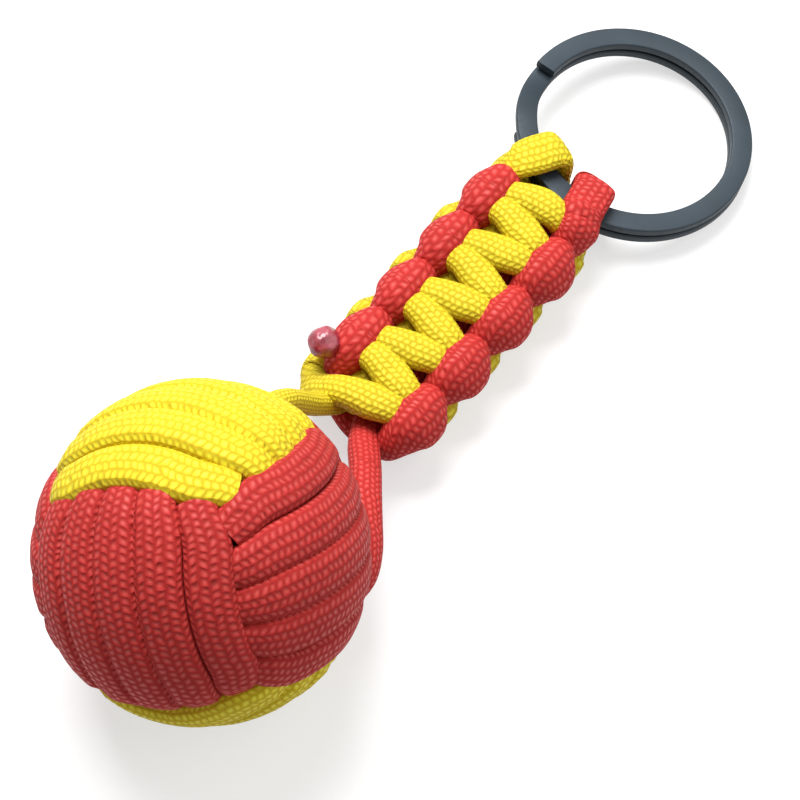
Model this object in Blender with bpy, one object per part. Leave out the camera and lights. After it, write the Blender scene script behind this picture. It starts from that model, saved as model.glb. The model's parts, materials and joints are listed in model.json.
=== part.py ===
"""Paracord keychain: a ball of three crossing cord bands, a flat woven handle and a split ring.

Lengths are in metres and +Z is up. The ball is at the -X end, the ring at the +X end, and two
cords, one red and one yellow, run through all of it. The part stands on the ball, on the back of
the handle and on the ring's lowest edge. The origin is under the middle of the bounding box.
"""

from math import cos, pi, radians, sin, sqrt

import bmesh
import bpy
import numpy as np
from mathutils import Euler, Matrix, Vector

# Cord and clearances
CORD = 0.0040  # nominal diameter of the braided cord
GAP = 0.0003  # between pieces that touch
TURN_GAP = 0.00062  # between neighbouring turns of one band of the ball
FLAT_CUT = CORD / 10  # depth of the flats that the part stands on
FLAT_SHARE = 0.6  # width of a flattened cord's two faces, per width of the cord

# Ball
CORE_RADIUS = 0.0127
CORE_PLAY = 0.0001  # more room round the core than the usual gap
TURNS = 5  # turns of cord in each of the three bands
INNER_THICKNESS = 0.0027  # cord pressed under a crossing band
OUTER_THICKNESS = 0.0031  # cord on the ball's surface
LAYER_GAP = 0.00115  # between a band and the band over it, along the radius
INNER_SPREAD = 1.0  # width of a band inside, per radius of its cord's centre
OUTER_SPREAD = 1.377  # width of a band on the surface, per radius of its cord's centre
BALL_TURN = (radians(30.7), radians(-35.0), radians(-172.8))
BAND_STEPS = 24  # points on one turn
SHIFT_HALF = 30  # degrees, half the arc over which a turn moves to its neighbour's place
SINK = (25, 54)  # degrees from the middle of a panel, where a turn sinks under the next band
DRAW = (6, 40)  # degrees from the middle of a panel, where the turns draw together
TUCK = 45  # degrees past the middle of a panel, where a band's two ends stop

# Handle: a chain of half knots round two core strands, in shares of the cord's diameter
HALF_KNOTS = 9
NECK = 0.0122  # from the ball's surface to the middle of the last half knot
HANDLE_SIDE = 0.0017  # from the ball's centre to the handle's axis, sideways
PITCH = 1.12 * CORD
CORE_SIDE = 0.55 * CORD
CORE_SIZE = (1.0 * CORD, 0.9 * CORD)  # each size is a width and a thickness
CORE_END_SIZE = (1.0 * CORD, 0.68 * CORD)
BAR_HEIGHT = 1.0 * CORD
BAR_SIZE = (0.97 * CORD, 0.675 * CORD)
SHOULDER_SIDE = 0.85 * CORD
SHOULDER_HEIGHT = 0.9125 * CORD
SHOULDER_SIZE = (0.475 * CORD, 0.55 * CORD)
CROSSING_SIDE = 1.69 * CORD
CROSSING_SIZE = (0.34 * CORD, 0.56 * CORD)
BUMP_SIDE = 2.0 * CORD
BUMP_HEIGHT = 1.1 * CORD
BUMP_SIZE = (0.87 * CORD, 0.62 * CORD)
BUMP_END_SIDE = 1.96 * CORD
BUMP_END_HEIGHT = 0.975 * CORD
BUMP_END_SIZE = (0.70 * CORD, 0.6 * CORD)
SQUEEZED_SIZE = (0.75 * CORD, 0.675 * CORD)  # the back of the half knot next to the ring
SHOULDER_AT = 0.2 * PITCH  # places along the handle, from the middle of a half knot
CROSSING_AT = 0.3 * PITCH
BUMP_REACH = 0.38 * PITCH
CORD_START = 0.66 * PITCH
END_STRAIGHT = 0.1 * PITCH
SQUEEZED_AT = 0.02 * PITCH
CORE_SHORT = 0.45 * CORD  # a core strand ends this far before the first half knot's middle
CORE_STRAND_POINTS = 8

# Melted ends
END_SIZE = (0.5 * CORD, 0.6 * CORD)
END_AT = 0.26 * PITCH
END_RISE = (1.76 * CORD, 0.24 * CORD)  # the cord's last point, sideways and up
BEAD = 0.44 * CORD
BEAD_RISE = (1.9 * CORD, 0.83 * CORD)

# Split ring
RING_RADIUS = 0.0160
RING_BAND = 0.0028
RING_TURN = 0.00125  # thickness of one turn of the strip
RING_TURN_GAP = 0.00042
RING_CHAMFER = 0.00025
RING_CLIMB = radians(34)  # arc over which the strip climbs from one turn to the next
RING_CLIMB_AT = radians(112)
RING_END_GAP = radians(3)
RING_POINTS = 120
RING_SIDE = -0.0025  # from the handle's axis to the ring's centre
RING_ROLL = -0.11  # sideways part of the ring's axis

# Loops of the two cords round the ring
LOOP_SIZE = (1.0 * CORD, 0.5 * CORD)
LOOP_CLEARANCE = 1.5 * GAP  # at the points, so that the flats between them clear too
LOOP_ROOM = 2.0 * GAP  # spare room for a loop between the handle and the ring
YELLOW_LOOP = (radians(20), radians(31))  # places on the band, where it passes under and over
RED_LOOP = (radians(-3), radians(-9))

# Legs between the handle and the ball
LEG_SIZE = (0.95 * CORD, 0.8 * CORD)
LEG_STRAIGHT = 0.33 * CORD
FOLD_AT = 0.00185  # from the handle's end to the axis about which the ball folds
FOLD_RISE = 0.8 * CORD

COLLECTION = "paracord_keychain"
BEND_SHARP = radians(70)

INNER_RADIUS = CORE_RADIUS + CORE_PLAY + GAP + INNER_THICKNESS / 2
OUTER_RADIUS = INNER_RADIUS + (INNER_THICKNESS + OUTER_THICKNESS) / 2 + LAYER_GAP
BALL_RADIUS = OUTER_RADIUS + OUTER_THICKNESS / 2
LAST_KNOT = BALL_RADIUS + NECK
WEAVE_START = LAST_KNOT + HALF_KNOTS * PITCH
HANDLE_END = LAST_KNOT - BAR_SIZE[0] / 2
CORE_END = WEAVE_START - PITCH - CORE_SHORT
RING_HALF = RING_TURN + RING_TURN_GAP / 2
RING_MIDDLE = RING_RADIUS - RING_BAND / 2


def smooth_step(x):
    x = np.clip(x, 0, 1)
    return x * x * (3 - 2 * x)


def unit(vectors):
    return vectors / np.linalg.norm(vectors, axis=-1, keepdims=True)


def spline(rows, steps):
    """Rows of numbers read from a Catmull-Rom curve through the given ones."""
    rows = np.array(rows, float)
    padded = np.vstack([2 * rows[0] - rows[1], rows, 2 * rows[-1] - rows[-2]])
    found = []
    for a, b, c, d in zip(padded, padded[1:], padded[2:], padded[3:]):
        for t in np.arange(steps) / steps:
            bend = (2 * a - 5 * b + 4 * c - d) * t**2 + (3 * b - a - 3 * c + d) * t**3
            found.append((2 * b + (c - a) * t + bend) / 2)
    found.append(rows[-1])
    return np.array(found)


def section_corners(rows):
    """Six corners of the flattened cord at each row of place, width, thickness and outward way."""
    points = rows[:, :3]
    along = unit(np.gradient(points, axis=0))
    outward = rows[:, 5:8]
    outward = unit(outward - (outward * along).sum(axis=1, keepdims=True) * along)
    side = np.cross(along, outward)
    edge = rows[:, 3:4] / 2 * side
    face = rows[:, 4:5] / 2 * outward
    flat = FLAT_SHARE * edge
    corners = [edge, flat + face, face - flat, -edge, -flat - face, flat - face]
    return points[:, None] + np.stack(corners, axis=1)


def own_gap(rows, turn):
    """Least distance between a cord's turns, measured between points three to a step."""
    points = rows[:, :3]
    fine = np.linspace(0, len(points) - 1, 3 * len(points) - 2)
    numbers = np.column_stack([points, (section_corners(rows) - points[:, None]).reshape(-1, 18)])
    numbers = np.array([np.interp(fine, np.arange(len(points)), column) for column in numbers.T]).T
    dense = numbers[:, :3]
    corners = numbers[:, 3:].reshape(-1, 6, 3)
    between = dense[None] - dense[:, None]
    distance = np.linalg.norm(between, axis=2)
    apart = np.abs(fine[:, None] - fine[None]) > turn / 2
    first, second = np.nonzero(apart & (distance < 2.5 * CORD))
    towards = between[first, second] / distance[first, second][:, None]
    from_first = np.einsum("kji,ki->kj", corners[first], towards).max(axis=1)
    from_second = np.einsum("kji,ki->kj", corners[second], -towards).max(axis=1)
    return (distance[first, second] - from_first - from_second).min()


def add_object(name, shape, material):
    mesh = bpy.data.meshes.new(name)
    shape.to_mesh(mesh)
    shape.free()
    mesh.shade_smooth()
    mesh.set_sharp_from_angle(angle=BEND_SHARP)
    mesh.materials.append(material)
    obj = bpy.data.objects.new(name, mesh)
    bpy.data.collections[COLLECTION].objects.link(obj)
    return obj


def loft(name, sections, material):
    """A closed body through a row of sections with equally many corners."""
    shape = bmesh.new()
    rings = [[shape.verts.new(corner) for corner in section] for section in sections]
    for ring, following in zip(rings, rings[1:]):
        for i in range(len(ring)):
            j = (i + 1) % len(ring)
            shape.faces.new((ring[i], following[i], following[j], ring[j]))
    shape.faces.new(rings[0])
    shape.faces.new(reversed(rings[-1]))
    return add_object(name, shape, material)


def add_cord(name, rows, material, pivot):
    """A cord whose rows are in the part's own frame, carried by an unturned pivot."""
    rows = np.array(rows)
    rows[:, :3] -= np.array(pivot.location)
    obj = loft(name, section_corners(rows), material)
    obj.parent = pivot
    return obj


def add_empty(name, parent, location, rotation=(0, 0, 0)):
    empty = bpy.data.objects.new(name, None)
    empty.empty_display_size = RING_RADIUS / 2
    empty.parent = parent
    empty.location = location
    empty.rotation_euler = rotation
    bpy.data.collections[COLLECTION].objects.link(empty)
    return empty


def add_material(name, colour, roughness, metallic=0.0):
    material = bpy.data.materials.new(name)
    material.use_nodes = True
    shader = material.node_tree.nodes["Principled BSDF"]
    shader.inputs["Base Color"].default_value = (*colour, 1)
    shader.inputs["Roughness"].default_value = roughness
    shader.inputs["Metallic"].default_value = metallic
    material.diffuse_color = (*colour, 1)
    return material


def add_materials():
    return {
        "red": add_material("red_cord", (0.60, 0.03, 0.04), 0.55),
        "yellow": add_material("yellow_cord", (0.95, 0.78, 0.03), 0.55),
        "red end": add_material("melted_red", (0.35, 0.02, 0.04), 0.2),
        "yellow end": add_material("melted_yellow", (0.75, 0.55, 0.03), 0.2),
        "steel": add_material("blackened_steel", (0.06, 0.08, 0.10), 0.4, 1.0),
        "wood": add_material("core_wood", (0.55, 0.36, 0.18), 0.6),
    }


# Ball


def band_rows(outside, inside, across):
    """One band's cord. Its turns pass outside at the first axis and inside at the second."""
    angle = 90 + np.arange(TURNS * BAND_STEPS + 1) * 360 / BAND_STEPS
    angle = angle[(angle >= 90 + TUCK) & (angle <= 90 + 360 * TURNS - TUCK)]
    turn = np.round((angle - 90) / 360)
    shift = (angle - 90 - 360 * turn) / SHIFT_HALF
    strand = turn - TURNS / 2 + smooth_step((shift + 1) / 2) - 0.5
    from_panel = np.abs((angle + 90) % 180 - 90)
    high = 1 - smooth_step((from_panel - SINK[0]) / (SINK[1] - SINK[0]))
    wide = 1 - smooth_step((from_panel - DRAW[0]) / (DRAW[1] - DRAW[0]))
    narrow_pitch = INNER_SPREAD * INNER_RADIUS / TURNS
    wide_pitch = OUTER_SPREAD * OUTER_RADIUS / TURNS
    pitch = narrow_pitch + (wide_pitch - narrow_pitch) * wide
    offset = strand * pitch
    reach = np.sqrt((INNER_RADIUS + (OUTER_RADIUS - INNER_RADIUS) * high) ** 2 - offset**2)
    points = np.outer(reach * np.cos(np.radians(angle)), outside)
    points += np.outer(reach * np.sin(np.radians(angle)), inside)
    points += np.outer(offset, across)
    thickness = INNER_THICKNESS + (OUTER_THICKNESS - INNER_THICKNESS) * high
    return np.column_stack([points, pitch - TURN_GAP, thickness, points])


def band_routes():
    x_axis, y_axis, z_axis = np.eye(3)
    return {
        "red_winding_front": band_rows(x_axis, z_axis, y_axis),
        "yellow_winding": band_rows(z_axis, y_axis, x_axis),
        "red_winding_side": band_rows(y_axis, x_axis, z_axis),
    }


def ball_height():
    """Height of the ball's centre, with its lowest cord cut flat at the table."""
    turned = np.array(Euler(BALL_TURN).to_matrix())
    low = [(section_corners(rows) @ turned.T)[..., 2].min() for rows in band_routes().values()]
    return float(-min(low) - FLAT_CUT)


def add_ball(centre, materials, pivot):
    pieces = []
    for name, rows in band_routes().items():
        print(f"{name}: least gap to itself {own_gap(rows, BAND_STEPS) * 1000:.2f} mm")
        pieces.append(loft(name, section_corners(rows), materials[name.split("_")[0]]))
    core = bmesh.new()
    bmesh.ops.create_uvsphere(core, u_segments=24, v_segments=12, radius=CORE_RADIUS)
    pieces.append(add_object("core_ball", core, materials["wood"]))
    for piece in pieces:
        piece.parent = pivot
        piece.rotation_euler = BALL_TURN
        piece.location = centre - pivot.location
    return pieces[:-1]


# Handle


def weave_rows(face):
    """A working cord from the ring to the ball, from the weave's start, axis and middle plane.

    It makes a bar over the core strands in each half knot, on the face that face names, and a
    bump on the other face between two half knots.
    """
    rows = [(at, BUMP_SIDE, -BUMP_HEIGHT, *BUMP_SIZE) for at in (CORD_START, CORD_START + END_STRAIGHT)]
    for knot in range(HALF_KNOTS + 1):
        side = (-1) ** knot
        middle = knot * PITCH
        squeezed = knot == 1 and face < 0
        if knot > 0:
            rows.append((middle + CROSSING_AT, -side * CROSSING_SIDE, 0, *CROSSING_SIZE))
            middle += SQUEEZED_AT if squeezed else 0
            bar_size = SQUEEZED_SIZE if squeezed else BAR_SIZE
            shoulder = (SHOULDER_HEIGHT, *SHOULDER_SIZE)
            rows.append((middle + SHOULDER_AT, -side * SHOULDER_SIDE, *shoulder))
            rows.append((middle, 0, BAR_HEIGHT, *bar_size))
            rows.append((middle - SHOULDER_AT, side * SHOULDER_SIDE, *shoulder))
            rows.append((middle - CROSSING_AT, side * CROSSING_SIDE, 0, *CROSSING_SIZE))
        bump = (knot + 0.5) * PITCH
        bump_end = (side * BUMP_END_SIDE, -BUMP_END_HEIGHT, *BUMP_END_SIZE)
        if 0 < knot < HALF_KNOTS:
            rows.append((bump - BUMP_REACH, *bump_end))
            rows.append((bump, side * BUMP_SIDE, -BUMP_HEIGHT, *BUMP_SIZE))
        if knot < HALF_KNOTS:
            rows.append((bump + BUMP_REACH, *bump_end))
    side = (-1) ** HALF_KNOTS
    rows.append((HALF_KNOTS * PITCH - END_AT, side * END_RISE[0], -END_RISE[1], *END_SIZE))
    rows = np.vstack([rows[:1], spline(rows[1:], 2)]) * (-1, face, face, 1, 1)
    level = np.zeros(len(rows))
    outward = (level, rows[:, 1] / CROSSING_SIDE**2, rows[:, 2] / BAR_HEIGHT**2)
    return np.column_stack([rows, np.transpose(outward) * CORD])


def handle_height():
    """Height of the handle's middle plane, with its lowest cord cut flat at the table."""
    low = [section_corners(weave_rows(face))[..., 2].min() for face in (1, -1)]
    return float(-min(low) - FLAT_CUT)


def handle_row(handle, x, y, z, size, outward):
    """A row given from the weave's start, the handle's axis and its middle plane."""
    return (WEAVE_START + x, HANDLE_SIDE + y, handle.location.z + z, *size, *outward)


def add_handle(materials, handle):
    standing = []
    for name, face in (("yellow", 1), ("red", -1)):
        rows = weave_rows(face)
        gap = own_gap(rows, 24)
        print(f"{name}_working_cord: least gap to itself {gap * 1000:.2f} mm")
        rows[:, :3] += (WEAVE_START, HANDLE_SIDE, handle.location.z)
        standing.append(add_cord(f"{name}_working_cord", rows, materials[name], handle))
        along = np.linspace(HANDLE_END, CORE_END, CORE_STRAND_POINTS) - WEAVE_START
        strand = face * CORE_SIDE
        rows = [handle_row(handle, x, strand, 0, CORE_SIZE, (0, 0, 1)) for x in along]
        rows[-1] = handle_row(handle, along[-1], strand, 0, CORE_END_SIZE, (0, 0, 1))
        add_cord(f"{name}_core_strand", rows, materials[name], handle)
        side = face * (-1) ** HALF_KNOTS
        bead = bmesh.new()
        bmesh.ops.create_uvsphere(bead, u_segments=12, v_segments=8, radius=BEAD)
        bead = add_object(f"{name}_melted_end", bead, materials[f"{name} end"])
        bead.parent = handle
        place = (LAST_KNOT + END_AT, HANDLE_SIDE + side * BEAD_RISE[0], -face * BEAD_RISE[1])
        bead.location = Vector(place) - Vector((*handle.location.xy, 0))
    return standing


# Split ring


def ring_matrix(height):
    """The ring leans on its lowest edge, and its band meets the handle's middle plane."""
    room = height - RING_HALF
    square = RING_RADIUS**2 - RING_MIDDLE**2
    rest = (RING_RADIUS * RING_ROLL) ** 2 - room**2
    lean = (sqrt((room * RING_MIDDLE) ** 2 - square * rest) - room * RING_MIDDLE) / square
    axis = Vector((lean, RING_ROLL, sqrt(1 - lean**2 - RING_ROLL**2)))
    squeezed = WEAVE_START - PITCH - SQUEEZED_AT + FLAT_SHARE * SQUEEZED_SIZE[0] / 2
    band = squeezed + LOOP_SIZE[1] + LOOP_ROOM + RING_BAND / 2
    centre = Vector((band + sqrt(RING_MIDDLE**2 - RING_SIDE**2), HANDLE_SIDE + RING_SIDE, 0))
    centre.z = RING_RADIUS * sqrt(lean**2 + RING_ROLL**2) + RING_HALF * axis.z
    along = (Vector((1, 0, 0)) - lean * axis).normalized()
    turned = Matrix((along, axis.cross(along), axis)).transposed().to_4x4()
    return Matrix.Translation(centre) @ turned


def strip_sections():
    """Sections of the ring's strip, which lies in two flat turns joined by a climb."""
    half = RING_BAND / 2
    thick = RING_TURN / 2
    edge = half - RING_CHAMFER
    wall = thick - RING_CHAMFER
    outline = [(half, wall), (edge, thick), (-edge, thick), (-half, wall)]
    outline += [(-half, -wall), (-edge, -thick), (edge, -thick), (half, -wall)]
    start = RING_CLIMB / 2 + RING_END_GAP
    sections = []
    for angle in np.linspace(start, 4 * pi - start, RING_POINTS):
        climb = float(smooth_step((angle - 2 * pi) / RING_CLIMB + 0.5)) - 0.5
        height = climb * (RING_TURN + RING_TURN_GAP)
        turned = angle + RING_CLIMB_AT
        way = Vector((cos(turned), sin(turned), 0))
        place = RING_MIDDLE * way + Vector((0, 0, height))
        sections.append([place + out * way + Vector((0, 0, up)) for out, up in outline])
    return sections


# Loops round the ring


def loop_rows(ring, places):
    """A cord's way under the ring's band, up through the hole and back over the band."""
    reach = LOOP_SIZE[1] / 2 + LOOP_CLEARANCE
    under = [(-140, 0, -1), (-115, 0, -1), (-90, 0, -1)]
    inside = [(-90, 1, -1), (-60, 1, -1), (-30, 1, -1), (0, 1, -1)]
    inside += [(0, 1, 1), (30, 1, 1), (60, 1, 1), (90, 1, 1)]
    corners = [*under, *inside, (90, 0, 1)]
    rows = []
    for i, (turn, is_inside, is_upper) in enumerate(corners):
        share = float(smooth_step((i - 2) / (len(corners) - 3)))
        place = places[0] + (places[1] - places[0]) * share
        towards = Vector((cos(place), -sin(place), 0))
        outward = cos(radians(turn)) * towards + Vector((0, 0, sin(radians(turn))))
        corner = (is_inside - 0.5) * RING_BAND - RING_MIDDLE
        point = corner * towards + Vector((0, 0, is_upper * RING_HALF)) + reach * outward
        rows.append((*(ring @ point), *LOOP_SIZE, *(ring.to_3x3() @ outward)))
    return rows


def add_loops(ring, handle, materials, pivot):
    def row(x, y, z, width, thickness, outward):
        size = (width * CORD, thickness * CORD)
        return handle_row(handle, x * CORD, y * CORD, z * CORD, size, outward)

    start = (CORE_END + GAP - WEAVE_START) / CORD
    strand = CORE_SIDE / CORD
    end = (-CORD_START + GAP) / CORD
    yellow = [
        row(start, strand, 0, 1.0, 0.68, (0, 0, -1)),
        row(start + 0.3, strand, 0, 0.96, 0.62, (0, 0, -1)),
        row(start + 0.72, strand - 0.06, -0.15, 0.88, 0.5, (0, 0, -1)),
        *loop_rows(ring, YELLOW_LOOP),
        row(-0.1, 1.42, 0.85, 0.9, 0.55, (-0.2, 0.4, 1)),
        row(-0.13, 1.78, 0.5, 0.62, 0.52, (0, 0.8, 0.6)),
        row(-0.19, 2.02, -0.05, 0.5, 0.54, (0, 1, 0)),
        row(-0.25, 2.06, -0.6, 0.6, 0.6, (0.1, 1, -0.2)),
        row(-0.31, 2.01, -0.95, 0.7, 0.55, (0.5, 0.6, -0.6)),
        row(end + 0.2, 2.0, -1.05, 0.75, 0.55, (0, 0.2, -1)),
        row(end, 2.0, -1.05, 0.85, 0.55, (0, 0.2, -1)),
    ]
    red = [
        row(start, -strand, 0, 1.0, 0.68, (0, 0, -1)),
        row(start + 0.3, -strand, 0, 1.0, 0.6, (0, 0, -1)),
        row(start + 0.62, -strand - 0.1, -0.24, 1.0, 0.5, (-0.2, 0, -1)),
        *loop_rows(ring, RED_LOOP),
        row(-0.3, -1.7, 1.0, 0.78, 0.55, (-0.2, -0.3, 1)),
        row(end + 0.2, -2.04, 1.14, 0.64, 0.5, (0, -0.25, 1)),
        row(end, -2.04, 1.17, 0.78, 0.46, (0, -0.25, 1)),
    ]
    add_cord("yellow_ring_loop", yellow, materials["yellow"], pivot)
    add_cord("red_ring_loop", red, materials["red"], pivot)


# Legs


def leg_rows(handle, strand, centre, points):
    """A leg from its core strand to the ball. Its points are in radii of the ball from its centre."""
    start = HANDLE_END - GAP - WEAVE_START
    rows = [
        handle_row(handle, start, strand, 0, CORE_SIZE, (0, 0, 1)),
        handle_row(handle, start - LEG_STRAIGHT, strand, 0, CORE_SIZE, (0, 0, 1)),
    ]
    for place, outward in points:
        rows.append((*(centre + BALL_RADIUS * Vector(place)), *LEG_SIZE, *outward))
    return np.vstack([rows[:1], spline(rows[1:], 2)])


def add_legs(handle, centre, materials, pivot):
    yellow = [
        ((1.315, 0.246, -0.61), (0.4, 0, 0.8)),
        ((1.27, 0.24, -0.42), (0.9, 0, 0.4)),
        ((1.2, 0.235, -0.2), (0.9, 0, 0.4)),
        ((1.12, 0.24, -0.02), (0.9, 0, 0.4)),
        ((1.06, 0.25, 0.12), (0.9, 0, 0.4)),
    ]
    red = [
        ((1.22, -0.2, -0.57), (0.3, -0.2, 1)),
        ((1.07, -0.4, -0.43), (0.3, -0.3, 1)),
        ((0.925, -0.555, -0.385), (0.4, -0.4, 0.8)),
        ((0.77, -0.69, -0.375), (0.6, -0.6, 0.6)),
        ((0.64, -0.79, -0.385), (0.6, -0.7, 0.4)),
    ]
    for name, strand, points in (("yellow", CORE_SIDE, yellow), ("red", -CORE_SIDE, red)):
        rows = leg_rows(handle, strand, centre, points)
        add_cord(f"{name}_leg", rows, materials[name], pivot)


# Assembly


def cut_flat(pieces):
    """Cuts the pieces that the part stands on flat at the table's height."""
    shape = bmesh.new()
    bmesh.ops.create_cube(shape, size=1)
    mesh = bpy.data.meshes.new("table_cutter")
    shape.to_mesh(mesh)
    shape.free()
    mesh.transform(Matrix.Diagonal((8 * BALL_RADIUS, 4 * BALL_RADIUS, BALL_RADIUS, 1)))
    cutter = bpy.data.objects.new("table_cutter", mesh)
    cutter.location = (LAST_KNOT, 0, -BALL_RADIUS / 2)
    cutter.hide_render = True
    cutter.display_type = "WIRE"
    bpy.data.collections["cutters"].objects.link(cutter)
    for piece in pieces:
        flat = piece.modifiers.new("flat", "BOOLEAN")
        flat.object = cutter
        flat.operation = "DIFFERENCE"
        flat.solver = "EXACT"
    return cutter


def bounds():
    """The corners of the box round all pieces, as the modifiers leave them."""
    graph = bpy.context.evaluated_depsgraph_get()
    corners = []
    for obj in bpy.data.collections[COLLECTION].objects:
        if obj.type == "MESH":
            shaped = obj.evaluated_get(graph)
            corners += [shaped.matrix_world @ vertex.co for vertex in shaped.data.vertices]
    corners = np.array(corners)
    return Vector(corners.min(axis=0)), Vector(corners.max(axis=0))


def main():
    for obj in list(bpy.data.objects):
        bpy.data.objects.remove(obj)
    for name in (COLLECTION, "cutters"):
        bpy.context.scene.collection.children.link(bpy.data.collections.new(name))
    materials = add_materials()
    height = handle_height()
    centre = Vector((0, 0, ball_height()))
    ring = ring_matrix(height)

    root = add_empty("keychain", None, (0, 0, 0))
    handle = add_empty("handle_frame", root, (HANDLE_END, HANDLE_SIDE, height))
    swing = add_empty("fist_swing_axis", root, (HANDLE_END, HANDLE_SIDE, height))
    fold_place = (HANDLE_END - FOLD_AT, HANDLE_SIDE, height + FOLD_RISE)
    fold = add_empty("fist_fold_axis", root, fold_place)
    band = ring.translation.x - sqrt(RING_MIDDLE**2 - RING_SIDE**2)
    ring_swing = add_empty("ring_swing_axis", root, (band, HANDLE_SIDE, height))
    ring_spin = add_empty("ring_spin_axis", root, ring.translation, ring.to_euler())

    standing = add_handle(materials, handle)
    standing += add_ball(centre, materials, fold)
    add_legs(handle, centre, materials, swing)
    add_loops(ring, handle, materials, ring_swing)
    strip = loft("split_ring", strip_sections(), materials["steel"])
    strip.parent = ring_spin

    cutter = cut_flat(standing)
    bpy.context.view_layer.update()
    low, high = bounds()
    middle = (low + high) / 2
    root.location = (-middle.x, -middle.y, 0)
    cutter.location += root.location
    bpy.context.view_layer.update()
    print(f"size {[round(side * 1000, 2) for side in high - low]} mm, lowest {low.z * 1000:.3f} mm")
    for empty in (swing, fold, ring_swing, ring_spin):
        print(f"{empty.name}: {[round(number, 5) for number in empty.matrix_world.translation]}")
    print(f"ring's axis: {[round(number, 5) for number in ring.col[2].xyz]}")


main()
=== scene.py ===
"""Looks of a cord keychain: braided cords, a blackened split ring and melted cord ends.

Lengths are in metres. The cords' routes repeat the model's own, with fuller sections.
"""

import json
from math import cos, pi, radians, sin

import bmesh
import bpy
import numpy as np
from mathutils import Euler, Matrix, Vector, noise


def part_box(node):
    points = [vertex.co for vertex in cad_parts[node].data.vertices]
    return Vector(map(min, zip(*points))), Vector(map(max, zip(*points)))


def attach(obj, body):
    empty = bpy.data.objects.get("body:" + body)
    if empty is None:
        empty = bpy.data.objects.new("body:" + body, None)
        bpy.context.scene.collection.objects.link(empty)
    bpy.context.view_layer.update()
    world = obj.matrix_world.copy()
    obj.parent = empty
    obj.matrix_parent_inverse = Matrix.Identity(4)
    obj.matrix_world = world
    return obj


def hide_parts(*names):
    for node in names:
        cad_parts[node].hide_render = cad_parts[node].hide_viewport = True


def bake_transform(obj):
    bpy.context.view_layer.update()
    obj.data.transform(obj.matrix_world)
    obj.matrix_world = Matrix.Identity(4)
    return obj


bl_info = {
    "name": "Cord keychain",
    "version": (1, 0, 0),
    "blender": (4, 5, 0),
    "location": "3D View > Sidebar > Keychain",
    "description": "Braided cords, split ring and stage for a cord keychain",
    "category": "Object",
}

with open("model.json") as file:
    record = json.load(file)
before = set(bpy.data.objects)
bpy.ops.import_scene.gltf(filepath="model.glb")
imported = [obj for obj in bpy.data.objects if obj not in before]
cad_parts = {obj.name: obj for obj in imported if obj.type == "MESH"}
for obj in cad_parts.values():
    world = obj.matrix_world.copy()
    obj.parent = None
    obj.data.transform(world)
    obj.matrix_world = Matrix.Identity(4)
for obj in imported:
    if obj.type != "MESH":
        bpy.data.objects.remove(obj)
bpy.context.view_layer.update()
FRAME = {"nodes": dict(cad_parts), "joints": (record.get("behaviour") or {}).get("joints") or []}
JOINTS = {joint["name"]: joint for joint in FRAME["joints"]}

# Routes, as in the model
CORD = 0.0040
TURNS = 5
BALL_TURN = (radians(30.7), radians(-35.0), radians(-172.8))
HALF_KNOTS = 9
PITCH = 1.12 * CORD
BAR_WIDTH = 0.97 * CORD
CORE_SIDE = 0.55 * CORD
RING_RADIUS = 0.0160
RING_BAND = 0.0028
RING_TURN = 0.00125
RING_TURN_GAP = 0.00042

HANDLE_END, HANDLE_SIDE, HANDLE_HEIGHT = JOINTS["fist_swing"]["pos_m"]
WEAVE_START = HANDLE_END + BAR_WIDTH / 2 + HALF_KNOTS * PITCH
FACES = {"yellow": 1, "red": -1}  # each cord's bars lie on the handle's front or its back
BALL_CENTRE = sum(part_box("core_ball"), Vector()) / 2
RING_CENTRE = Vector(JOINTS["ring_spin"]["pos_m"])
RING_AXIS = Vector(JOINTS["ring_spin"]["axis"]).normalized()
RING_MIDDLE = RING_RADIUS - RING_BAND / 2
RING_HALF = RING_TURN + RING_TURN_GAP / 2

# Sections
SIDES = 28
FULLNESS = 0.86  # 1 makes a section an ellipse, less makes its corners fuller
BALL_FULLNESS = 0.68
CORD_STEPS = 10  # points between two places of a route


# Sizes and colours that a user can change


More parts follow.
